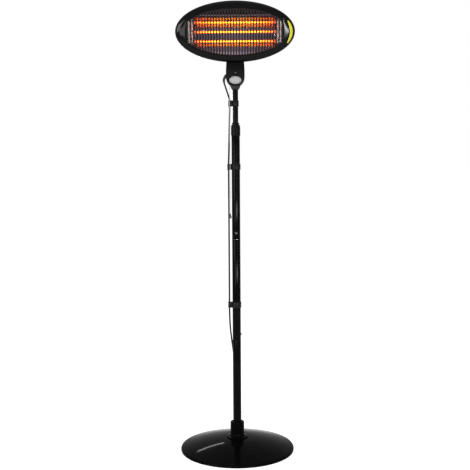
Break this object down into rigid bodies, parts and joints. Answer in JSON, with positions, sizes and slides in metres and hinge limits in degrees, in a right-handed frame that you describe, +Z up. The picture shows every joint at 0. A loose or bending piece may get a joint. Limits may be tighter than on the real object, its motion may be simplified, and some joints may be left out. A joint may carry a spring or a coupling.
{
  "type": "infrared patio heater",
  "caption": "Patio heater tower: an elliptical quartz infrared head tilts on a telescopic mast with a twist lock, on a sectioned pole and round weighted base, with pull switch and mains cord.",
  "frame": {"origin": "on the floor, under the middle of the pole", "axes": "+Z up along the pole; the head's glowing face looks towards -Y; +X is to the right seen from the front"},
  "size_m": [0.463, 0.729, 1.7915],
  "materials": {
    "base_cover": "high gloss black paint",
    "base_tray": "satin dark grey paint",
    "base_weight": "cast concrete, rough",
    "foot": "matt",
    "fastener": "plated steel",
    "pole_socket": "satin moulded",
    "pole": "gloss black paint",
    "coupler": "drawn tube",
    "lock": "satin moulded",
    "mast": "satin black paint",
    "guide": "moulded",
    "neck": "fine matt texture",
    "mast_nut": "ribbed, matt grey",
    "bracket": "cast, dark coating",
    "switch": "moulded",
    "ceramic": "unglazed steatite",
    "gland": "matt",
    "tilt_knob": "satin moulded",
    "head_bezel": "satin black paint",
    "head_shell": "satin dark grey paint",
    "guard": "heat-resistant grey paint",
    "reflector": "bright rolled",
    "quartz": "clear fused quartz",
    "element": "glowing resistance coil",
    "holder": "bright stamped sheet",
    "cord": "satin jacket",
    "clip": "moulded",
    "pull_cord": "braided nylon",
    "pull_knob": "moulded",
    "mains_plug": "moulded, satin"
  },
  "bodies": {
    "stand": {"base_bolt": "fastener", "base_cover": "base_cover", "base_foot_1": "foot", "base_foot_2": "foot", "base_foot_3": "foot", "base_foot_4": "foot", "base_tray": "base_tray", "base_weight": "base_weight", "cord_clip_lower": "clip", "cord_clip_middle": "clip", "cord_lower": "cord", "lock_collet": "lock", "mains_plug": "mains_plug", "pole_coupler_lower": "coupler", "pole_coupler_upper": "coupler", "pole_lower": "pole", "pole_middle": "pole", "pole_screw_lower": "fastener", "pole_screw_upper": "fastener", "pole_socket": "pole_socket", "pole_upper": "pole"},
    "lock_sleeve": {"lock_sleeve": "lock"},
    "mast": {"mast_tube": "mast", "mast_guide": "guide", "mast_nut": "mast_nut", "neck_front": "neck", "neck_rear": "neck", "neck_screw": "fastener", "hinge_bracket": "bracket", "hinge_bolt": "fastener", "pull_switch": "switch", "terminal_block": "ceramic", "fall_switch": "switch", "cord_gland": "gland", "cord_clip_upper": "clip", "cord_upper": "cord", "cord_middle": "cord"},
    "head": {"head_bezel": "head_bezel", "head_shell": "head_shell", "guard_grille": "guard", "reflector": "reflector", "ceramic_cap_bottom_left": "ceramic", "ceramic_cap_bottom_right": "ceramic", "ceramic_cap_middle_left": "ceramic", "ceramic_cap_middle_right": "ceramic", "ceramic_cap_top_left": "ceramic", "ceramic_cap_top_right": "ceramic", "element_bottom": "element", "element_middle": "element", "element_top": "element", "quartz_tube_bottom": "quartz", "quartz_tube_middle": "quartz", "quartz_tube_top": "quartz", "tube_holder_left": "holder", "tube_holder_right": "holder", "rear_box": "head_shell", "thermal_cutout": "fastener"},
    "tilt_knob": {"tilt_knob": "tilt_knob"},
    "pull": {"pull_cord": "pull_cord", "pull_knob": "pull_knob"}
  },
  "joints": [
    {"name": "lock_turn", "type": "hinge", "parent": "stand", "child": "lock_sleeve", "pos_m": [0, 0, 1.29], "axis": [0, 0, 1], "range_deg": [0, 90]},
    {"name": "mast_slide", "type": "slide", "parent": "stand", "child": "mast", "axis": [0, 0, 1], "range_m": [-0.055, 0.22], "deforming": ["cord_middle"]},
    {"name": "head_tilt", "type": "hinge", "parent": "mast", "child": "head", "pos_m": [0, 0.0135, 1.5875], "axis": [1, 0, 0], "range_deg": [-17, 18]},
    {"name": "knob_turn", "type": "hinge", "parent": "mast", "child": "tilt_knob", "pos_m": [0.0296, 0.0135, 1.5875], "axis": [1, 0, 0], "range_deg": [-180, 180]},
    {"name": "pull_slide", "type": "slide", "parent": "mast", "child": "pull", "axis": [0, 0, -1], "range_m": [0, 0.01], "stiffness_N_per_m": 300}
  ]
}
